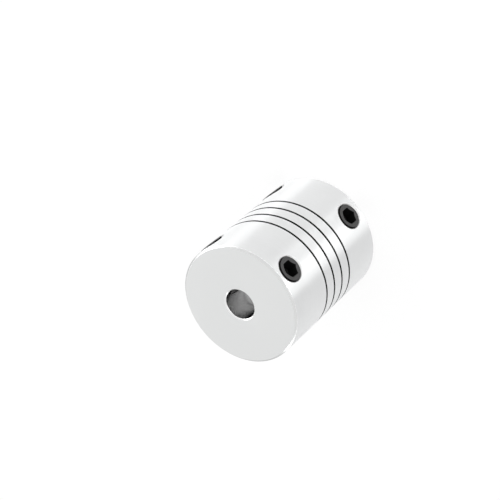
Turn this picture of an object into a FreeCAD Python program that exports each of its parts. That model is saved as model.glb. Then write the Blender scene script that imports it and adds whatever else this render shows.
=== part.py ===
"""One-piece flexible shaft coupling: two hubs joined by a helical beam, with four set screws.

Frame: +Z runs along the coupling's axis, from the large-bore end, on which it stands, to the small-bore
end. The origin is the centre of the large-bore end face. All sizes are in millimetres and degrees.
"""

import FreeCAD, Part
import math
import os

# Bar
body_diameter = 20.0
body_length = 25.0
edge_break = 0.3

# Bores, which meet at a flat shoulder
small_bore_diameter = 5.0
large_bore_diameter = 10.0
large_bore_depth = 12.5
bore_mouth_chamfer = 0.2

# Helical slit, right-handed and centred along the bar
slit_width = 0.3
slit_pitch = 2.4
slit_turns = 4.0
slit_end_azimuth = 135.0
slit_overcut = 0.5
slit_sectors_per_turn = 12

# Tapped holes, two rows a quarter turn apart, one hole of each row in each hub
front_row_azimuth = -90.0
side_row_azimuth = 0.0
screw_inset = 3.25
thread_diameter = 4.0
hole_mouth_diameter = 4.8
hole_mouth_angle = 90.0
hole_overcut = 0.5

# Set screws: hex socket, flat face, cup point
screw_length = 4.0
screw_face_recess = 0.0
screw_running_clearance = 0.05
screw_rim_chamfer = 0.1
socket_across_flats = 2.5
socket_depth = 2.0
socket_lead_in_diameter = 2.9
socket_lead_in_angle = 120.0
socket_drill_point_angle = 120.0
point_taper_length = 0.6
cup_diameter = 2.4
cup_angle = 120.0

body_radius = body_diameter / 2
slit_start_height = (body_length - slit_pitch * slit_turns) / 2
shoulder_height = large_bore_depth
screw_radius = thread_diameter / 2 - screw_running_clearance
z_axis = FreeCAD.Vector(0, 0, 1)
origin = FreeCAD.Vector(0, 0, 0)


def revolved(outline):
    """Solid of revolution about Z of a closed outline of (radius, height) points."""
    points = [FreeCAD.Vector(r, 0, z) for r, z in outline]
    face = Part.Face(Part.makePolygon(points + points[:1]))
    return face.revolve(origin, z_axis, 360)


def bored_bar():
    """The bar with its stepped bore, edge breaks and bore mouth chamfers, turned from one outline."""
    small_radius = small_bore_diameter / 2
    large_radius = large_bore_diameter / 2
    return revolved([
        (large_radius + bore_mouth_chamfer, 0),
        (body_radius - edge_break, 0),
        (body_radius, edge_break),
        (body_radius, body_length - edge_break),
        (body_radius - edge_break, body_length),
        (small_radius + bore_mouth_chamfer, body_length),
        (small_radius, body_length - bore_mouth_chamfer),
        (small_radius, shoulder_height),
        (large_radius, shoulder_height),
        (large_radius, bore_mouth_chamfer),
    ])


def helix_point(radius, turn, offset):
    """Point at a radius on the slit's helix, some turns from its start, raised by an offset."""
    angle = math.radians(slit_end_azimuth) + 2 * math.pi * turn
    height = slit_start_height + slit_pitch * turn + offset
    return FreeCAD.Vector(radius * math.cos(angle), radius * math.sin(angle), height)


def flat_face(points):
    """Planar face with the given corners."""
    return Part.Face(Part.makePolygon(points + points[:1]))


def slit_wall(inner, outer, start, end, offset):
    """One sector of a slit wall, ruled between its inner and its outer chord.

    Each chord's poles are weighted by the other chord's radius. Straight lines in the patch's own
    parameters are then straight in plan too, so that few triangles follow the twisted wall closely.
    """
    poles = [[helix_point(radius, turn, offset) for turn in (start, end)] for radius in (inner, outer)]
    weights = [[outer] * 2, [inner] * 2]
    patch = Part.BSplineSurface()
    patch.buildFromPolesMultsKnots(poles, [2, 2], [2, 2], [0, 1], [0, 1], False, False, 1, 1, weights)
    return patch.toShape()


def helical_slit():
    """Cutter of the slit: a thin band on edge that climbs a helix, from inside the small bore outwards."""
    inner = small_bore_diameter / 2 - slit_overcut
    outer = (body_radius + slit_overcut) / math.cos(math.pi / slit_sectors_per_turn)
    steps = math.ceil(slit_turns * slit_sectors_per_turn)
    turns = [slit_turns * i / steps for i in range(steps + 1)]
    low, high = -slit_width / 2, slit_width / 2
    faces = []
    for start, end in zip(turns, turns[1:]):
        faces += [slit_wall(inner, outer, start, end, offset) for offset in (low, high)]
        faces += [flat_face([helix_point(radius, start, low), helix_point(radius, end, low),
                             helix_point(radius, end, high), helix_point(radius, start, high)])
                  for radius in (inner, outer)]
    faces += [flat_face([helix_point(inner, turn, low), helix_point(outer, turn, low),
                         helix_point(outer, turn, high), helix_point(inner, turn, high)])
              for turn in (turns[0], turns[-1])]
    shell = Part.makeShell(faces)
    shell.sewShape()
    cutter = Part.Solid(shell)
    if cutter.Volume < 0:
        cutter.reverse()
    return cutter


def on_radial_line(tool, azimuth, height, radius):
    """Moves a tool made about Z, pointing up, so that it points outwards with its origin on a radius."""
    tool.rotate(origin, FreeCAD.Vector(0, 1, 0), 90)
    tool.rotate(origin, z_axis, azimuth)
    angle = math.radians(azimuth)
    tool.translate(FreeCAD.Vector(radius * math.cos(angle), radius * math.sin(angle), height))
    return tool


def tapped_hole(azimuth, height):
    """Cutter of one screw hole, from inside the bore out, with a countersink at the bar's surface."""
    thread_radius = thread_diameter / 2
    mouth_radius = hole_mouth_diameter / 2
    mouth_slope = math.tan(math.radians(hole_mouth_angle / 2))
    inner_end = small_bore_diameter / 4
    outer_end = body_radius + hole_overcut
    cutter = revolved([
        (0, inner_end),
        (thread_radius, inner_end),
        (thread_radius, body_radius - (mouth_radius - thread_radius) / mouth_slope),
        (mouth_radius + hole_overcut * mouth_slope, outer_end),
        (0, outer_end),
    ])
    return on_radial_line(cutter, azimuth, height, 0)


def hex_socket():
    """Cutter of a hex socket in a face at height 0: lead-in cone, hexagon and drill point."""
    corner_radius = socket_across_flats / math.sqrt(3)
    lead_in_radius = socket_lead_in_diameter / 2
    lead_in_slope = math.tan(math.radians(socket_lead_in_angle / 2))
    corners = [FreeCAD.Vector(corner_radius * math.cos(math.radians(60 * i)),
                              corner_radius * math.sin(math.radians(60 * i)), -socket_depth)
               for i in range(6)]
    hexagon = Part.Face(Part.makePolygon(corners + corners[:1])).extrude(z_axis * (socket_depth + 1))
    lead_in = revolved([
        (0, -lead_in_radius / lead_in_slope),
        (lead_in_radius, 0),
        (lead_in_radius + lead_in_slope, 1),
        (0, 1),
    ])
    drill_radius = socket_across_flats / 2
    point_depth = drill_radius / math.tan(math.radians(socket_drill_point_angle / 2))
    drill_point = revolved([(0, -socket_depth - point_depth), (drill_radius, -socket_depth), (0, -socket_depth)])
    return hexagon.fuse([lead_in, drill_point])


def set_screw(azimuth, height):
    """One set screw in its hole, its socket face outwards and its cup point towards the bore."""
    cup_radius = cup_diameter / 2
    cup_depth = cup_radius / math.tan(math.radians(cup_angle / 2))
    blank = revolved([
        (0, 0),
        (0, -screw_length + cup_depth),
        (cup_radius, -screw_length),
        (screw_radius, -screw_length + point_taper_length),
        (screw_radius, -screw_rim_chamfer),
        (screw_radius - screw_rim_chamfer, 0),
    ])
    screw = blank.cut(hex_socket())
    return on_radial_line(screw, azimuth, height, body_radius - screw_face_recess)


def hole_places():
    """Azimuth and height of every tapped hole, under the name of the screw that it holds."""
    heights = {"small_bore": body_length - screw_inset, "large_bore": screw_inset}
    rows = {"front": front_row_azimuth, "side": side_row_azimuth}
    return {f"set_screw_{end}_{row}": (azimuth, height)
            for end, height in heights.items()
            for row, azimuth in rows.items()}


def coupling_body():
    """The bar after drilling, tapping and slitting."""
    body = bored_bar()
    for azimuth, height in hole_places().values():
        body = body.cut(tapped_hole(azimuth, height))
    return body.cut(helical_slit())


os.makedirs("parts", exist_ok=True)
solids = {"coupling_body": coupling_body()}
for name, (azimuth, height) in hole_places().items():
    solids[name] = set_screw(azimuth, height)

for name, shape in solids.items():
    print(name, "valid", shape.isValid(), "solids", len(shape.Solids), "volume", round(shape.Volume, 3))
    shape.exportStep(f"parts/{name}.step")
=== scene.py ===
"""Dressed model of a one-piece flexible shaft coupling and its four set screws.

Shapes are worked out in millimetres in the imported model's own frame: +Z runs along the coupling's axis,
from the large-bore end on the floor to the small-bore end, and the origin is the centre of the large-bore
end face. They become meshes in metres. Overall sizes and the screws' places come from the frame.
"""

from __future__ import annotations

import logging
import math
from dataclasses import dataclass
from enum import Enum

import bmesh
import bpy
import numpy as np
from mathutils import Matrix, Quaternion, Vector

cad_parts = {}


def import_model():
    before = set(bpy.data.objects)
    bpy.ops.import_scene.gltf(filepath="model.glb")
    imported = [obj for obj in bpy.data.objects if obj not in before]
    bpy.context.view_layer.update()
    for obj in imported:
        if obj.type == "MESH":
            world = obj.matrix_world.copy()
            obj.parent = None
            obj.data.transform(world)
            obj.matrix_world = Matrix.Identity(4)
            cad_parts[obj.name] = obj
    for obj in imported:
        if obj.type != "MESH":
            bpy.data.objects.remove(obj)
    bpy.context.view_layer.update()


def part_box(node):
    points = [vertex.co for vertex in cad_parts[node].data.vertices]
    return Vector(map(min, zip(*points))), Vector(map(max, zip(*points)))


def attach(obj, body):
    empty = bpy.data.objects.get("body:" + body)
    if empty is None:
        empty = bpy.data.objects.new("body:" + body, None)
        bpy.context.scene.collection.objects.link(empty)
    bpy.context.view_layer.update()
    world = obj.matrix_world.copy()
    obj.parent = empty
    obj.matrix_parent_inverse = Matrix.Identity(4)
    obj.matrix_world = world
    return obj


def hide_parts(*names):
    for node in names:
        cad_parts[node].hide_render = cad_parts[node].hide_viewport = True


LOG = logging.getLogger("coupling")
METRES_PER_MM = 0.001
MERGE_DISTANCE = 1e-4  # millimetres
SHORTEST_EDGE = 1e-5  # millimetres
UP = np.array([0.0, 0.0, 1.0])
Surface = tuple[np.ndarray, np.ndarray]  # points, and quads of point numbers
Colour = tuple[float, float, float]


class Hub(Enum):
    """The two clamping ends of the coupling, by the bore that each one has."""

    SMALL_BORE = "small_bore"
    LARGE_BORE = "large_bore"


class Row(Enum):
    """The two rows of set screws, a quarter turn apart, and the azimuth of each in degrees."""

    FRONT = ("front", -90.0)
    SIDE = ("side", 0.0)

    def __init__(self, label: str, azimuth: float) -> None:
        self.label = label
        self.azimuth = azimuth


# Surfaces worked out on grids


def grid_quads(rows: int, columns: int, close_rows: bool = False, close_columns: bool = False) -> np.ndarray:
    """Quads between neighbours of a grid of points, numbered row by row.

    Args:
        rows: How many rows of points there are.
        columns: How many points a row has.
        close_rows: Whether the last row joins the first one.
        close_columns: Whether the last point of a row joins its first one.

    Returns:
        An array with the four point numbers of each quad.
    """
    i = np.arange(rows if close_rows else rows - 1)[:, None]
    j = np.arange(columns if close_columns else columns - 1)[None, :]
    next_i, next_j = (i + 1) % rows, (j + 1) % columns
    corners = (i * columns + j, next_i * columns + j, next_i * columns + next_j, i * columns + next_j)
    return np.stack(corners, axis=-1).reshape(-1, 4)


def turned(outline: np.ndarray, segments: int) -> Surface:
    """A closed outline turned about Z: point (t, k) is (r_k cos t, r_k sin t, z_k).

    Args:
        outline: The outline's (radius, height) points.
        segments: Divisions of the full turn.

    Returns:
        Points and quads of the closed surface.
    """
    radius, height = outline.T
    t = 2 * math.pi * np.arange(segments)[:, None] / segments
    points = np.stack([radius * np.cos(t), radius * np.sin(t), height + 0 * t], axis=-1)
    return points.reshape(-1, 3), grid_quads(segments, len(outline), True, True)


def rounded(corners: np.ndarray, radii: np.ndarray, steps: int) -> np.ndarray:
    """A closed outline with an arc of its own radius at each corner.

    At a corner whose sides leave in the unit directions a and b, with an angle of 2 h between them, the
    arc's centre lies radius / sin h along their bisector. The arc turns through A = pi - 2 h, and the
    point at a share s of it is (sin((1 - s) A) p + sin(s A) q) / sin A from the centre, where p and q
    lead to its two ends, radius / tan h along either side.

    Args:
        corners: The outline's corners, one (x, y) row each.
        radii: Radius of the arc at each corner.
        steps: Divisions of each arc.

    Returns:
        The outline's points, steps + 1 at each corner.
    """
    a, b = (np.roll(corners, shift, axis=0) - corners for shift in (1, -1))
    a, b = (side / np.linalg.norm(side, axis=1, keepdims=True) for side in (a, b))
    h = np.arccos((a * b).sum(axis=1)) / 2
    middle = (a + b) / np.linalg.norm(a + b, axis=1, keepdims=True)
    centre = corners + middle * (radii / np.sin(h))[:, None]
    p, q = ((corners + side * (radii / np.tan(h))[:, None] - centre)[:, None] for side in (a, b))
    s = np.linspace(0, 1, steps + 1)[None, :, None]
    angle = (math.pi - 2 * h)[:, None, None]
    arc = (np.sin((1 - s) * angle) * p + np.sin(s * angle) * q) / np.sin(angle)
    return (centre[:, None] + arc).reshape(-1, 2)


def rings(radii: list, heights: list, columns: int) -> Surface:
    """Rings of points about Z, joined to one another: point (k, t) is (r_k(t) cos t, r_k(t) sin t, z_k(t)).

    Args:
        radii: Radius of each ring, a number or one value for each column.
        heights: Height of each ring, in the same way.
        columns: Points round a ring.

    Returns:
        Points and quads of the surface, open at its first and last rings unless their radius is 0.
    """
    t = 2 * math.pi * np.arange(columns) / columns
    r = np.stack([np.broadcast_to(radius, columns) for radius in radii])
    z = np.stack([np.broadcast_to(height, columns) for height in heights])
    points = np.stack([r * np.cos(t), r * np.sin(t), z], axis=-1)
    return points.reshape(-1, 3), grid_quads(len(radii), columns, close_columns=True)


def joined(*parts: Surface) -> Surface:
    """Several surfaces as one list of points and one of quads."""
    starts = np.cumsum([0] + [len(points) for points, _ in parts[:-1]])
    return (np.vstack([points for points, _ in parts]),
            np.vstack([quads + start for (_, quads), start in zip(parts, starts)]))


def outwards(azimuth: float) -> np.ndarray:
    """Unit vector out along the coupling's radius at an azimuth in degrees."""
    angle = math.radians(azimuth)
    return np.array([math.cos(angle), math.sin(angle), 0.0])


def radially(surface: Surface, azimuth: float, height: float, radius: float) -> Surface:
    """A surface made about Z, placed so that its Z points outwards along a radius of the coupling.

    Its X then points down the coupling's axis, and its Y round it.

    Args:
        surface: Points and quads.
        azimuth: Direction of the radius, in degrees.
        height: Height of the radius above the coupling's foot.
        radius: Distance from the axis at which the surface's own height is 0.

    Returns:
        The points in their place, and the same quads.
    """
    points, quads = surface
    out = outwards(azimuth)
    placed = points @ np.array([-UP, np.cross(UP, out), out])
    return placed + radius * out + height * UP, quads


def solid(name: str, surface: Surface, *materials: bpy.types.Material) -> bpy.types.Object:
    """A closed mesh object, still in millimetres, with coinciding points merged and faces outwards.

    Args:
        name: Name of the object and of its mesh.
        surface: Points and quads. A quad with coinciding corners becomes a triangle, or goes.
        materials: What the object is made of. All its faces have the first.

    Returns:
        The object.
    """
    points, quads = surface
    mesh = bpy.data.meshes.new(name)
    mesh.from_pydata(points.tolist(), [], quads.tolist())
    shape = bmesh.new()
    shape.from_mesh(mesh)
    bmesh.ops.remove_doubles(shape, verts=shape.verts, dist=MERGE_DISTANCE)
    bmesh.ops.dissolve_degenerate(shape, edges=shape.edges, dist=SHORTEST_EDGE)
    bmesh.ops.recalc_face_normals(shape, faces=shape.faces)
    shape.to_mesh(mesh)
    shape.free()
    for material in materials:
        mesh.materials.append(material)
    made = bpy.data.objects.new(name, mesh)
    bpy.context.scene.collection.objects.link(made)
    return made


def cut(piece: bpy.types.Object, cutter: bpy.types.Object) -> None:
    """Takes a cutter out of a piece for good, and removes the cutter.

    Args:
        piece: The object that is cut.
        cutter: The object that is taken out of it, whose material its walls get.
    """
    difference = piece.modifiers.new("cut", "BOOLEAN")
    difference.operation = "DIFFERENCE"
    difference.solver = "EXACT"
    difference.material_mode = "TRANSFER"
    difference.object = cutter
    bpy.context.view_layer.update()
    result = bpy.data.meshes.new_from_object(piece.evaluated_get(bpy.context.evaluated_depsgraph_get()))
    piece.modifiers.clear()
    spent = piece.data
    piece.data = result
    bpy.data.meshes.remove(spent)
    result.name = piece.name
    bpy.data.meshes.remove(cutter.data)


def face_table(piece: bpy.types.Object) -> tuple[np.ndarray, np.ndarray, np.ndarray]:
    """The normal, middle and material number of each of a piece's faces."""
    faces = piece.data.polygons
    normals, middles = (np.empty((len(faces), 3), np.float32) for _ in range(2))
    numbers = np.empty(len(faces), np.int32)
    faces.foreach_get("normal", normals.ravel())
    faces.foreach_get("center", middles.ravel())
    faces.foreach_get("material_index", numbers)
    return normals, middles, numbers


def finished(piece: bpy.types.Object, sharp_from: float) -> None:
    """Brings a piece to metres, and smooths its curved faces.

    Args:
        piece: The object, in millimetres.
        sharp_from: Angle between two faces from which their edge stays sharp, in degrees.
    """
    mesh = piece.data
    mesh.transform(Matrix.Scale(METRES_PER_MM, 4))
    mesh.shade_smooth()
    mesh.set_sharp_from_angle(angle=math.radians(sharp_from))


def millimetres(node: str) -> np.ndarray:
    """A node's lowest and highest corners in the frame, in millimetres."""
    return np.array([list(corner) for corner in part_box(node)]) / METRES_PER_MM


# Finishes


COLOUR_MIX_INPUTS = (0, 6, 7)  # factor, A and B of a Mix node for colours
COLOUR_MIX_OUTPUT = 2
USUAL_NOISE = {"From Min": 0.3, "From Max": 0.7}  # what noise seldom goes beyond
MARK_NOISE = {"Scale": 1.0, "Detail": 3.0, "Roughness": 0.6}
GRAIN_DETAIL = 2.0


class Nodes:
    """A node tree with short calls for adding nodes and wires."""

    def __init__(self, tree: bpy.types.NodeTree) -> None:
        """Empties the tree."""
        self.tree = tree
        tree.nodes.clear()

    def add(self, kind: str, values: dict | None = None, **settings: object) -> bpy.types.Node:
        """Adds a node.

        Args:
            kind: The node's type.
            values: What to put on its inputs: a number, a colour or another node's output socket.
            settings: Its other properties.

        Returns:
            The node.
        """
        node = self.tree.nodes.new(kind)
        for name, value in settings.items():
            setattr(node, name, value)
        for key, value in (values or {}).items():
            if isinstance(value, bpy.types.NodeSocket):
                self.tree.links.new(value, node.inputs[key])
            else:
                node.inputs[key].default_value = value
        return node

    def math(self, operation: str, *values: object) -> bpy.types.NodeSocket:
        """The result of a Math node."""
        return self.add("ShaderNodeMath", dict(enumerate(values)), operation=operation).outputs[0]

    def mix(self, factor: object, first: object, second: object) -> bpy.types.NodeSocket:
        """A colour between two colours."""
        values = dict(zip(COLOUR_MIX_INPUTS, (factor, first, second)))
        return self.add("ShaderNodeMix", values, data_type="RGBA").outputs[COLOUR_MIX_OUTPUT]

    def spread(self, noise: bpy.types.NodeSocket, first: float, last: float) -> bpy.types.NodeSocket:
        """Noise from 0 to 1, spread out between two values."""
        return self.add("ShaderNodeMapRange", {
            "Value": noise, **USUAL_NOISE, "To Min": first, "To Max": last}).outputs[0]

    def group(self, tree: bpy.types.NodeTree, values: dict) -> bpy.types.NodeOutputs:
        """Adds a node group that works on the object's own coordinates.

        Args:
            tree: The group.
            values: Its number inputs that aren't left as they are.

        Returns:
            The group's outputs.
        """
        place = self.add("ShaderNodeTexCoord").outputs["Object"]
        return self.add("ShaderNodeGroup", {"Position": place, **values}, node_tree=tree).outputs

    def raised(self, height: bpy.types.NodeSocket) -> bpy.types.NodeSocket:
        """Normals of a surface that a height in millimetres raises."""
        return self.add("ShaderNodeBump", {
            "Height": height, "Strength": 1.0, "Distance": METRES_PER_MM}).outputs[0]


def node_group(name: str, inputs: dict[str, float], outputs: tuple[str, ...]) -> tuple[Nodes, dict, dict]:
    """An empty shader node group whose first input is a position.

    Args:
        name: The group's name.
        inputs: Its number inputs and what they are by default.
        outputs: Its number outputs.

    Returns:
        Its nodes, the sockets that its inputs give, and the sockets that its outputs take.
    """
    tree = bpy.data.node_groups.new(name, "ShaderNodeTree")
    tree.interface.new_socket("Position", in_out="INPUT", socket_type="NodeSocketVector")
    for label, value in inputs.items():
        tree.interface.new_socket(label, in_out="INPUT", socket_type="NodeSocketFloat").default_value = value
    for label in outputs:
        tree.interface.new_socket(label, in_out="OUTPUT", socket_type="NodeSocketFloat")
    nodes = Nodes(tree)
    given = nodes.add("NodeGroupInput").outputs
    taken = nodes.add("NodeGroupOutput").inputs
    return nodes, {s.name: s for s in given}, {s.name: s for s in taken}


def turning_marks() -> bpy.types.NodeTree:
    """Fine marks that a cutting tool leaves round Z, on turned, faced and bored surfaces alike.

    They are noise over (radius, height), which are the same all round, with a slow change along the way
    round that makes each mark fade in and out.

    Returns:
        A group from Position, Marks per mm and Fade per mm to Marks, from 0 to 1.
    """
    nodes, given, taken = node_group("turning_marks", {"Marks per mm": 12.0, "Fade per mm": 0.5}, ("Marks",))
    x, y, z = nodes.add("ShaderNodeSeparateXYZ", {"Vector": given["Position"]}).outputs
    squares = nodes.math("ADD", nodes.math("MULTIPLY", x, x), nodes.math("MULTIPLY", y, y))
    radius = nodes.math("SQRT", squares)

    def counted(length: bpy.types.NodeSocket, rate: str) -> bpy.types.NodeSocket:
        """A length in metres, times a rate per millimetre."""
        return nodes.math("MULTIPLY", nodes.math("MULTIPLY", length, 1 / METRES_PER_MM), given[rate])

    place = nodes.add("ShaderNodeCombineXYZ", {
        "X": counted(radius, "Marks per mm"),
        "Y": counted(z, "Marks per mm"),
        "Z": counted(x, "Fade per mm")})
    noise = nodes.add("ShaderNodeTexNoise", {
        "Vector": place.outputs[0], "W": counted(y, "Fade per mm"), **MARK_NOISE}, noise_dimensions="4D")
    nodes.tree.links.new(noise.outputs["Fac"], taken["Marks"])
    return nodes.tree


def metal_grain() -> bpy.types.NodeTree:
    """The even, fine grain of a metal surface, with slow patches over it.

    Returns:
        A group from Position, Grains per mm and Patches per mm to Grain and Patches, from 0 to 1.
    """
    nodes, given, taken = node_group("metal_grain", {"Grains per mm": 20.0, "Patches per mm": 0.3},
                                     ("Grain", "Patches"))
    place = nodes.add("ShaderNodeVectorMath", {0: given["Position"], "Scale": 1 / METRES_PER_MM},
                      operation="SCALE").outputs[0]
    for rate, result in (("Grains per mm", "Grain"), ("Patches per mm", "Patches")):
        noise = nodes.add("ShaderNodeTexNoise", {
            "Vector": place, "Scale": given[rate], "Detail": GRAIN_DETAIL})
        nodes.tree.links.new(noise.outputs["Fac"], taken[result])
    return nodes.tree


def grey(value: float) -> tuple[float, float, float, float]:
    """A neutral colour."""
    return (value, value, value, 1.0)


def blank_material(name: str) -> tuple[bpy.types.Material, Nodes]:
    """A new material, and its empty tree of nodes."""
    made = bpy.data.materials.new(name)
    made.use_nodes = True
    return made, Nodes(made.node_tree)


@dataclass(frozen=True)
class Aluminium:
    """Bare machined aluminium: pale and satin, with tool marks that run round the axis.

    Where it is anisotropic, the marks stretch every reflection along the axis, which is what draws bright
    and grey bands lengthways on a turned cylinder.
    """

    name: str
    colour: Colour = (0.80, 0.806, 0.808)
    mark_contrast: float = 0.08
    roughness: float = 0.47
    roughness_change: float = 0.03
    anisotropy: float = 0.0
    quarter_turn: float = 0.25
    marks_per_mm: float = 9.0
    mark_height: float = 0.0006
    grain_height: float = 0.0003
    grazing_share: float = 0.6

    def material(self, marks: bpy.types.NodeTree, grain: bpy.types.NodeTree) -> bpy.types.Material:
        """The material.

        Args:
            marks: The group of turning marks.
            grain: The group of metal grain.

        Returns:
            A new material.
        """
        made, nodes = blank_material(self.name)
        lathe = nodes.group(marks, {"Marks per mm": self.marks_per_mm})
        fine = nodes.group(grain, {})
        dark = tuple(c * (1 - self.mark_contrast) for c in self.colour)
        colour = nodes.mix(lathe["Marks"], (*dark, 1.0), (*self.colour, 1.0))
        roughness = nodes.spread(fine["Patches"], self.roughness - self.roughness_change,
                                 self.roughness + self.roughness_change)
        height = nodes.math("ADD", nodes.math("MULTIPLY", lathe["Marks"], self.mark_height),
                            nodes.math("MULTIPLY", fine["Grain"], self.grain_height))
        round_axis = nodes.add("ShaderNodeTangent", direction_type="RADIAL", axis="Z")
        shader = nodes.add("ShaderNodeBsdfPrincipled", {
            "Base Color": colour, "Metallic": 1.0, "Roughness": roughness,
            "Specular Tint": grey(self.grazing_share), "Anisotropic": self.anisotropy,
            "Anisotropic Rotation": self.quarter_turn, "Normal": nodes.raised(height),
            "Tangent": round_axis.outputs[0]})
        nodes.add("ShaderNodeOutputMaterial", {"Surface": shader.outputs[0]})
        return made


@dataclass(frozen=True)
class BlackOxideSteel:
    """Hardened screw steel with a black oxide finish: dark, with a low satin sheen."""

    name: str
    colour: Colour = (0.028, 0.028, 0.029)
    worn_colour: Colour = (0.046, 0.045, 0.044)
    roughness: float = 0.42
    roughness_change: float = 0.06
    patches_per_mm: float = 1.5
    grain_height: float = 0.0015
    reflectance: float = 0.3

    def material(self, grain: bpy.types.NodeTree) -> bpy.types.Material:
        """The material.

        Args:
            grain: The group of metal grain.

        Returns:
            A new material.
        """
        made, nodes = blank_material(self.name)
        fine = nodes.group(grain, {"Patches per mm": self.patches_per_mm})
        colour = nodes.mix(fine["Patches"], (*self.colour, 1.0), (*self.worn_colour, 1.0))
        roughness = nodes.spread(fine["Patches"], self.roughness + self.roughness_change,
                                 self.roughness - self.roughness_change)
        height = nodes.math("MULTIPLY", fine["Grain"], self.grain_height)
        shader = nodes.add("ShaderNodeBsdfPrincipled", {
            "Base Color": colour, "Metallic": 0.0, "Roughness": roughness,
            "Specular IOR Level": self.reflectance, "Normal": nodes.raised(height)})
        nodes.add("ShaderNodeOutputMaterial", {"Surface": shader.outputs[0]})
        return made


SCREW_FACE = BlackOxideSteel("black_oxide_face")
# Thread, socket and point: the black oxide made still darker and duller, painted shade in the socket and in
# the gap round the screw.
SCREW_SHANK_PAINTED_SHADE = BlackOxideSteel("black_oxide_shank", colour=(0.004, 0.004, 0.004),
                              worn_colour=(0.008, 0.008, 0.008), roughness=0.5, reflectance=0.04)


# The coupling's pieces


@dataclass(frozen=True)
class Thread:
    """A coarse metric thread, as rows of points that follow its helix."""

    pitch: float = 0.7
    depth: float = 0.43
    run_out: float = 0.35
    crest_flat: float = 1 / 8
    root_flat: float = 1 / 4
    rows_per_turn: int = 14

    def sleeve(self, crest: float, side: int, low: float, high: float, columns: int,
               envelope: tuple[list[float], list[float]]) -> Surface:
        """The thread's flanks between two planes.

        Row k of column t, with t from 0 to 1 round the turn, lies at the height
        low + pitch (k / rows_per_turn + t - 1), held between low and high, so that rows which run past an
        end fold onto it. With u = |2 frac(height / pitch - t) - 1|, the thread is
        depth (1 - crest_flat - u) / (1 - crest_flat - root_flat) deep, held between 0 and depth, and it
        runs out towards either end. The last column joins the first one rows_per_turn further up.

        Args:
            crest: Radius of the thread's crest.
            side: -1 for a thread cut inwards from its crest, as on a screw, and 1 for one cut outwards.
            low: Height at which the sleeve starts.
            high: Height at which it ends.
            columns: Points round a turn.
            envelope: Heights, and the largest radius at each of them, straight in between.

        Returns:
            Points and quads of the sleeve, open at both ends.
        """
        rows = math.ceil((high - low) / self.pitch + 2) * self.rows_per_turn
        t = np.arange(columns) / columns
        k = np.arange(rows)[:, None]
        height = np.clip(low + self.pitch * (k / self.rows_per_turn + t - 1), low, high)
        u = np.abs(2 * ((height / self.pitch - t) % 1) - 1)
        share = np.clip((1 - self.crest_flat - u) / (1 - self.crest_flat - self.root_flat), 0, 1)
        fade = np.clip(np.minimum(height - low, high - height) / self.run_out, 0, 1)
        radius = np.minimum(crest + side * self.depth * share * fade, np.interp(height, *envelope))
        angle = 2 * math.pi * t
        points = np.stack([radius * np.cos(angle), radius * np.sin(angle), height], axis=-1)
        k = np.arange(rows - 1 - self.rows_per_turn)
        last, first = k * columns + columns - 1, (k + self.rows_per_turn) * columns
        seam = np.stack([last, last + columns, first + columns, first], axis=-1)
        return points.reshape(-1, 3), np.vstack([grid_quads(rows, columns), seam])


@dataclass(frozen=True)
class TappedHole:
    """A screw hole through the wall of a hub: a thread, and a countersink at the bar's surface."""

    thread_radius: float = 2.0
    mouth_radius: float = 2.4
    mouth_angle: float = 90.0
    lip: float = 0.03
    overcut: float = 0.3
    columns: int = 96
    thread: Thread = Thread(depth=0.25, crest_flat=1 / 4, root_flat=1 / 8)

    def mouth_edge(self, bar_radius: float) -> np.ndarray:
        """Radius at which the countersink meets the bar's surface, in each column.

        With m = tan(mouth_angle / 2), the cone lies at the height apex + r / m, where
        apex = bar_radius - mouth_radius / m, and the bar at sqrt(bar_radius^2 - (r sin t)^2). So r is the
        positive root of (1 / m^2 + sin^2 t) r^2 + 2 (apex / m) r + apex^2 - bar_radius^2 = 0.
        """
        m = math.tan(math.radians(self.mouth_angle / 2))
        apex = bar_radius - self.mouth_radius / m
        a = 1 / m**2 + np.sin(2 * math.pi * np.arange(self.columns) / self.columns)**2
        b = apex / m
        return (np.sqrt(b**2 + a * (bar_radius**2 - apex**2)) - b) / a

    def cutter(self, start: float, bar_radius: float) -> Surface:
        """What the hole takes out of the bar, about Z, from a start inside the bore outwards.

        A small lip halves the angle between the countersink and the bar's surface, which over a point at
        (x, y) lies at the height sqrt(bar_radius^2 - y^2).

        Args:
            start: Height at which the cutter starts.
            bar_radius: Radius of the bar.

        Returns:
            Points and quads of the closed cutter.
        """
        slope = 1 / math.tan(math.radians(self.mouth_angle / 2))
        thread_end = bar_radius - (self.mouth_radius - self.thread_radius) * slope
        sleeve = self.thread.sleeve(self.thread_radius, 1, start, thread_end, self.columns,
                                    ([start, thread_end], [bar_radius, bar_radius]))
        lip_foot = self.mouth_edge(bar_radius) - self.lip
        lip_foot_height = bar_radius + (lip_foot - self.mouth_radius) * slope
        lip_slope = math.tan(math.atan(slope) / 2)
        outer = lip_foot + (self.lip * slope + self.overcut) / lip_slope
        angle = 2 * math.pi * np.arange(self.columns) / self.columns
        outer_height = np.sqrt(bar_radius**2 - (outer * np.sin(angle))**2) + self.overcut
        foot = rings([0, self.thread_radius], [start, start], self.columns)
        top = bar_radius + 2 * self.overcut
        mouth = rings([self.thread_radius, lip_foot, outer, 0],
                      [thread_end, lip_foot_height, outer_height, top], self.columns)
        return joined(foot, sleeve, mouth)


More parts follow.
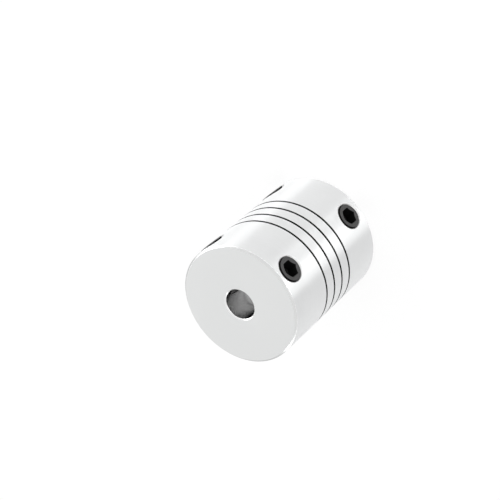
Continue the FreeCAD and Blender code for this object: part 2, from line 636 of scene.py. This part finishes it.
@dataclass(frozen=True)
class SetScrew:
    """A hex socket set screw with a chamfered flat face and a cup point, made about Z below height 0."""

    length: float
    radius: float
    rim_chamfer: float = 0.03
    across_flats: float = 2.5
    socket_depth: float = 2.0
    lead_in_radius: float = 1.45
    lead_in_angle: float = 120.0
    drill_angle: float = 120.0
    taper_length: float = 0.6
    cup_radius: float = 1.2
    cup_angle: float = 120.0
    columns: int = 96
    sharp_from: float = 30.0
    thread: Thread = Thread()

    @property
    def face_depth(self) -> float:
        """Depth to which the rim chamfer and the socket's lead-in cone go."""
        lead_in_slope = math.tan(math.radians(self.lead_in_angle / 2))
        return max(self.rim_chamfer, (self.lead_in_radius - self.across_flats / 2) / lead_in_slope)

    def surface(self) -> Surface:
        """The whole screw.

        With its corners at multiples of a sixth of a turn, the hexagon's radius at an angle t is
        h = (across_flats / 2) / cos(t mod 60 deg - 30 deg). The lead-in cone, a little wider than the
        corners, meets it at the depth (lead_in_radius - h) / tan(lead_in_angle / 2).

        Returns:
            Points and quads of the closed screw.
        """
        envelope = ([-self.length, -self.length + self.taper_length], [self.cup_radius, self.radius])
        sleeve = self.thread.sleeve(self.radius, -1, -self.length, -self.rim_chamfer, self.columns, envelope)
        sixth = math.pi / 3
        angle = 2 * math.pi * np.arange(self.columns) / self.columns
        flat = self.across_flats / 2
        hexagon = flat / np.cos(angle % sixth - sixth / 2)
        bottom = -self.socket_depth
        tip = bottom - flat / math.tan(math.radians(self.drill_angle / 2))
        lead_in_height = (hexagon - self.lead_in_radius) / math.tan(math.radians(self.lead_in_angle / 2))
        face_edge = self.radius - self.rim_chamfer
        top = rings([self.radius, face_edge, self.lead_in_radius, hexagon, hexagon, flat, 0],
                    [-self.rim_chamfer, 0, 0, lead_in_height, bottom, bottom, tip], self.columns)
        cup_depth = self.cup_radius / math.tan(math.radians(self.cup_angle / 2))
        cup = rings([0, self.cup_radius], [cup_depth - self.length, -self.length], self.columns)
        return joined(cup, sleeve, top)


@dataclass(frozen=True)
class HelicalSlit:
    """The slit that turns the middle of the bar into a flexible beam: right-handed, centred, one start."""

    width: float = 0.3
    pitch: float = 2.4
    turns: float = 4.0
    end_azimuth: float = 135.0
    lip: float = 0.07
    lip_slopes: tuple[float, ...] = (0.0, 30.0, 60.0)
    overcut: float = 0.3
    steps_per_turn: int = 256

    def cutter(self, inner: float, bar_radius: float, bar_length: float) -> Surface:
        """What the slit takes out of the bar: a section carried along the helix.

        The section has the radii r_j and half widths w_j, and widens over a small lip at the bar's
        surface, an arc through the lip slopes. At a number of turns n, its points are
        (r_j cos a, r_j sin a, z + or - w_j), where a = end_azimuth + 2 pi n and
        z = (bar_length - pitch turns) / 2 + pitch n.

        Args:
            inner: Radius at which the section starts, inside the bores.
            bar_radius: Radius of the bar.
            bar_length: Length of the bar.

        Returns:
            Points and quads of the closed cutter.
        """
        slope = np.radians(self.lip_slopes)
        lip_radii = bar_radius - self.lip * (1 - np.sin(slope))
        lip_widths = self.width / 2 + self.lip * (1 - np.cos(slope))
        outer = bar_radius + self.overcut
        outer_width = lip_widths[-1] + (outer - lip_radii[-1]) * math.tan(slope[-1])
        radii = np.concatenate([[inner], lip_radii, [outer]])
        widths = np.concatenate([[self.width / 2], lip_widths, [outer_width]])
        section_radii = np.concatenate([radii, radii[::-1]])
        section_heights = np.concatenate([-widths, widths[::-1]])
        steps = round(self.turns * self.steps_per_turn)
        n = np.linspace(0, self.turns, steps + 1)[:, None]
        a = math.radians(self.end_azimuth) + 2 * math.pi * n
        z = (bar_length - self.pitch * self.turns) / 2 + self.pitch * n
        points = np.stack([section_radii * np.cos(a), section_radii * np.sin(a), section_heights + z],
                          axis=-1)
        around = len(section_radii)
        j = np.arange(len(radii) - 1)
        end = np.stack([j, j + 1, around - 2 - j, around - 1 - j], axis=-1)
        walls = grid_quads(steps + 1, around, close_columns=True)
        return points.reshape(-1, 3), np.vstack([walls, end, end + steps * around])


@dataclass(frozen=True)
class CouplingBody:
    """The one-piece body: a turned bar with a stepped bore, four tapped holes and the helical slit."""

    node: str = "coupling_body"
    edge_break: float = 0.3
    edge_radius: float = 0.04
    small_bore_radius: float = 2.5
    large_bore_radius: float = 5.0
    large_bore_depth: float = 12.5
    mouth_chamfer: float = 0.2
    mouth_radius: float = 0.06
    arc_steps: int = 4
    segments: int = 256
    sharp_from: float = 20.0
    broken_tilt: float = 0.1
    faced_tilt: float = 0.99
    slit: HelicalSlit = HelicalSlit()
    hole: TappedHole = TappedHole()
    barrel: Aluminium = Aluminium("turned_aluminium", anisotropy=1.0)
    faced: Aluminium = Aluminium("faced_aluminium", colour=(0.735, 0.742, 0.740), roughness=0.36,
                                 mark_contrast=0.02)
    # Edge breaks: a darker copy of the aluminium, painted shade that dims the highlight along the edges.
    edge_painted_shade: Aluminium = Aluminium("broken_edge_aluminium", colour=(0.690, 0.697, 0.695), roughness=0.18,
                                  mark_contrast=0.02)
    bored: Aluminium = Aluminium("bored_aluminium", colour=(0.83, 0.83, 0.83), roughness=0.17)
    # Hole walls and countersinks: a darker copy of the aluminium, painted shade in the screw holes.
    hole_wall_painted_shade: Aluminium = Aluminium("drilled_aluminium", colour=(0.60, 0.60, 0.60), roughness=0.5)
    # Slit walls: the aluminium painted almost black, as painted shade deep inside the narrow slit.
    slit_painted_shade: Aluminium = Aluminium("sawn_aluminium", colour=(0.012, 0.012, 0.012), roughness=0.6)

    def outline(self, radius: float, length: float) -> np.ndarray:
        """Half of the bar's section before drilling, with its small arcs.

        Args:
            radius: Radius of the bar.
            length: Length of the bar.

        Returns:
            Closed outline of (radius, height) points.
        """
        edge, mouth = self.edge_break, self.mouth_chamfer
        small, large, shoulder = self.small_bore_radius, self.large_bore_radius, self.large_bore_depth
        corners = np.array([
            (large + mouth, 0), (radius - edge, 0), (radius, edge), (radius, length - edge),
            (radius - edge, length), (small + mouth, length), (small, length - mouth), (small, shoulder),
            (large, shoulder), (large, mouth)])
        outer, inner = [self.edge_radius] * 4, [self.mouth_radius] * 5
        return rounded(corners, np.array([self.mouth_radius, *outer, *inner]), self.arc_steps)

    def build(self, holes: list[tuple[float, float]], marks: bpy.types.NodeTree,
              grain: bpy.types.NodeTree) -> bpy.types.Object:
        """Turns, drills and slits the body, and puts it in its node's place.

        Args:
            holes: Azimuth in degrees and height of each screw hole.
            marks: The group of turning marks.
            grain: The group of metal grain.

        Returns:
            The body.
        """
        low, high = millimetres(self.node)
        radius, length = high[0], high[2] - low[2]
        kinds = (self.barrel, self.faced, self.edge_painted_shade, self.bored, self.hole_wall_painted_shade, self.slit_painted_shade)
        *outside, hole_wall_painted_shade, slit_painted_shade = (kind.material(marks, grain) for kind in kinds)
        bar = turned(self.outline(radius, length), self.segments)
        body = solid("coupling_body_turned", bar, *outside, hole_wall_painted_shade, slit_painted_shade)
        drill_start = self.small_bore_radius / 2
        drill = self.hole.cutter(drill_start, radius)
        for azimuth, height in holes:
            # The holes' walls take the darker copy: painted shade in the holes.
            cut(body, solid("hole_cutter", radially(drill, azimuth, height, 0), hole_wall_painted_shade))
        slit_start = self.small_bore_radius - self.slit.overcut
        # The slit's walls take the near-black copy: painted shade inside the slit.
        cut(body, solid("slit_cutter", self.slit.cutter(slit_start, radius, length), slit_painted_shade))
        self.finish_turned_faces(body, length, *outside)
        finished(body, self.sharp_from)
        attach(body, "coupling")
        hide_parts(self.node)
        return body

    def finish_turned_faces(self, body: bpy.types.Object, length: float, barrel: bpy.types.Material,
                            faced: bpy.types.Material, edge_painted_shade: bpy.types.Material,
                            bored: bpy.types.Material) -> None:
        """Gives the bores, the edge breaks and the end faces their own finishes.

        Beside an end, a face belongs to the edge break if the share of its normal along the axis is over
        broken_tilt, and to the end face if it is over faced_tilt.

        Args:
            body: The cut body.
            length: Length of the bar.
            barrel: Finish that the turned faces have so far, and that the outside keeps.
            faced: Finish of the end faces.
            edge_painted_shade: Darker copy of the aluminium for the edge breaks, painted shade that dims
                their highlight.
            bored: Finish of the bores.
        """
        normals, middles, numbers = face_table(body)
        find = body.data.materials.find
        tilt = np.abs(normals[:, 2])
        at_end = np.abs(middles[:, 2] - length / 2) > length / 2 - self.edge_break
        inside = np.hypot(middles[:, 0], middles[:, 1]) < self.large_bore_radius + self.mouth_chamfer
        numbers[inside & (numbers == find(barrel.name))] = find(bored.name)
        # Tilted faces beside an end get the darker copy: painted shade on the edge breaks.
        numbers[at_end & (numbers == find(barrel.name)) & (tilt > self.broken_tilt)] = find(edge_painted_shade.name)
        numbers[at_end & (tilt > self.faced_tilt)] = find(faced.name)
        body.data.polygons.foreach_set("material_index", numbers)


@dataclass(frozen=True)
class ScrewPlace:
    """Where one set screw sits, by its hub and its row."""

    hub: Hub
    row: Row
    face_tilt: float = 0.5

    @property
    def node(self) -> str:
        """The screw's node in the frame."""
        return f"set_screw_{self.hub.value}_{self.row.label}"

    @property
    def body(self) -> str:
        """The moving body that the screw rides on."""
        return f"{self.hub.value}_{self.row.label}_screw"

    def height(self) -> float:
        """Height of the screw's axis above the coupling's foot."""
        return float(millimetres(self.node)[:, 2].mean())

    def build(self, bar_radius: float, face: bpy.types.Material,
              shank_painted_shade: bpy.types.Material) -> bpy.types.Object:
        """Makes the threaded screw in its node's place.

        Near the screw's outer end, faces take the flat face's finish if the share of their normal that
        points outwards is over face_tilt.

        Args:
            bar_radius: Radius of the bar, with which the screw's face is flush.
            face: Finish of the screw's flat face.
            shank_painted_shade: A darker, duller copy of the black oxide for its thread, socket and point,
                painted shade in the socket and round the screw.

        Returns:
            The screw.
        """
        low, high = millimetres(self.node)
        along_x, along_y, across = high - low
        screw = SetScrew(length=max(along_x, along_y), radius=across / 2)
        placed = radially(screw.surface(), self.row.azimuth, self.height(), bar_radius)
        made = solid(f"{self.node}_threaded", placed, shank_painted_shade, face)
        normals, middles, numbers = face_table(made)
        out = outwards(self.row.azimuth)
        on_face = (normals @ out > self.face_tilt) & (bar_radius - middles @ out < screw.face_depth)
        numbers[on_face] = made.data.materials.find(face.name)
        made.data.polygons.foreach_set("material_index", numbers)
        finished(made, screw.sharp_from)
        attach(made, self.body)
        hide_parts(self.node)
        return made


# The studio


@dataclass(frozen=True)
class SoftBox:
    """A rectangular lamp that looks at the coupling."""

    name: str
    azimuth: float
    elevation: float
    distance: float
    width: float
    height: float
    power: float

    def build(self, aim: Vector) -> None:
        """Hangs the lamp.

        Args:
            aim: The point that it looks at, in metres.
        """
        lamp = bpy.data.lights.new(self.name, "AREA")
        lamp.shape = "RECTANGLE"
        lamp.size, lamp.size_y, lamp.energy = self.width, self.height, self.power
        hung = bpy.data.objects.new(self.name, lamp)
        bpy.context.scene.collection.objects.link(hung)
        away = direction(self.azimuth, self.elevation)
        hung.location = aim + away * self.distance
        hung.rotation_mode = "QUATERNION"
        hung.rotation_quaternion = away.to_track_quat("Z", "Y")
        hung.visible_camera = False


def direction(azimuth: float, elevation: float) -> Vector:
    """Unit vector towards a viewer, whose azimuth is 0 on the -Y side and 90 on the +X side."""
    a, e = math.radians(azimuth), math.radians(elevation)
    return Vector((math.sin(a) * math.cos(e), -math.cos(a) * math.cos(e), math.sin(e)))


@dataclass(frozen=True)
class Studio:
    """A plain white studio: a pale floor, soft light from all round, and the photograph's viewpoint."""

    aim: tuple[float, float, float] = (5.19, 1.75, 13.73)
    view_azimuth: float = 4.57
    view_elevation: float = 47.25
    view_roll: float = -130.62
    view_distance: float = 289.65
    lens: float = 132.5
    clip_start: float = 0.01
    floor_reach: float = 3.0
    floor_colour: float = 0.95
    floor_own_light: float = 0.8
    surround: float = 0.9
    lamps: tuple[SoftBox, ...] = (
        SoftBox("strip_softbox", azimuth=-24, elevation=12, distance=0.6,
                width=0.31, height=0.35, power=0.88),
        SoftBox("glow_softbox", azimuth=-2.5, elevation=12, distance=0.7,
                width=0.5, height=0.25, power=1.02),
        SoftBox("right_softbox", azimuth=55, elevation=14, distance=0.7,
                width=1.3, height=0.25, power=1.9),
        SoftBox("window_softbox", azimuth=130, elevation=14, distance=0.7,
                width=1.7, height=0.25, power=3.3),
        SoftBox("left_softbox", azimuth=-84, elevation=5.5, distance=0.7,
                width=1.2, height=0.15, power=0.8),
    )

    def build(self) -> None:
        """Sets up the colours, the floor, the light and the camera."""
        bpy.context.scene.view_settings.view_transform = "Standard"
        self.build_world()
        self.build_floor()
        aim = Vector(self.aim) * METRES_PER_MM
        for lamp in self.lamps:
            lamp.build(aim)
        self.build_camera(aim)

    @staticmethod
    def seen_directly(nodes: Nodes) -> bpy.types.NodeSocket:
        """1 on rays from the camera and on mirrored and refracted ones, 0 on the rest."""
        path = nodes.add("ShaderNodeLightPath").outputs
        either = nodes.math("MAXIMUM", path["Is Camera Ray"], path["Is Glossy Ray"])
        return nodes.math("MAXIMUM", either, path["Is Transmission Ray"])

    def build_world(self) -> None:
        """A white surround, a little dimmer where it only lights."""
        world = bpy.data.worlds.new("white_surround")
        world.use_nodes = True
        bpy.context.scene.world = world
        nodes = Nodes(world.node_tree)
        tone = nodes.mix(self.seen_directly(nodes), grey(self.surround), grey(1.0))
        background = nodes.add("ShaderNodeBackground", {"Color": tone, "Strength": 1.0})
        nodes.add("ShaderNodeOutputWorld", {"Surface": background.outputs[0]})

    def build_floor(self) -> None:
        """A pale floor that shows white, and keeps a soft shadow of the object."""
        reach = self.floor_reach
        corners = np.array([(-reach, -reach, 0), (reach, -reach, 0), (reach, reach, 0), (-reach, reach, 0)])
        mesh = bpy.data.meshes.new("floor")
        mesh.from_pydata(corners.tolist(), [], [(0, 1, 2, 3)])
        floor = bpy.data.objects.new("floor", mesh)
        bpy.context.scene.collection.objects.link(floor)
        pale, nodes = blank_material("pale_floor")
        lit = nodes.add("ShaderNodeBsdfDiffuse", {"Color": grey(self.floor_colour)})
        white = nodes.add("ShaderNodeEmission", {"Color": grey(1.0), "Strength": 1.0})
        share = nodes.math("MULTIPLY", self.seen_directly(nodes), self.floor_own_light)
        mixed = nodes.add("ShaderNodeMixShader", {0: share, 1: lit.outputs[0], 2: white.outputs[0]})
        nodes.add("ShaderNodeOutputMaterial", {"Surface": mixed.outputs[0]})
        mesh.materials.append(pale)

    def build_camera(self, aim: Vector) -> None:
        """The photograph's viewpoint, which is rolled well over.

        Args:
            aim: The point in the middle of the picture, in metres.
        """
        data = bpy.data.cameras.new("viewpoint")
        data.lens = self.lens
        data.clip_start = self.clip_start
        camera = bpy.data.objects.new("viewpoint", data)
        bpy.context.scene.collection.objects.link(camera)
        back = direction(self.view_azimuth, self.view_elevation)
        roll = Quaternion((0, 0, 1), math.radians(self.view_roll))
        camera.location = aim + back * self.view_distance * METRES_PER_MM
        camera.rotation_mode = "QUATERNION"
        camera.rotation_quaternion = (-back).to_track_quat("-Z", "Y") @ roll
        bpy.context.scene.camera = camera


def main() -> None:
    """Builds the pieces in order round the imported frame, then the studio."""
    logging.basicConfig(level=logging.INFO, format="%(name)s: %(message)s")
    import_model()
    marks, grain = turning_marks(), metal_grain()
    # The shank's finish is painted shade: darker and duller than the screw's face.
    face, shank_painted_shade = (steel.material(grain) for steel in (SCREW_FACE, SCREW_SHANK_PAINTED_SHADE))
    places = [ScrewPlace(hub, row) for hub in Hub for row in Row]
    body = CouplingBody()
    made = [body.build([(place.row.azimuth, place.height()) for place in places], marks, grain)]
    bar_radius = float(millimetres(body.node)[1][0])
    made += [place.build(bar_radius, face, shank_painted_shade) for place in places]
    for piece in made:
        LOG.info("%s: %d faces", piece.name, len(piece.data.polygons))
    Studio().build()


if __name__ == "__main__":
    main()
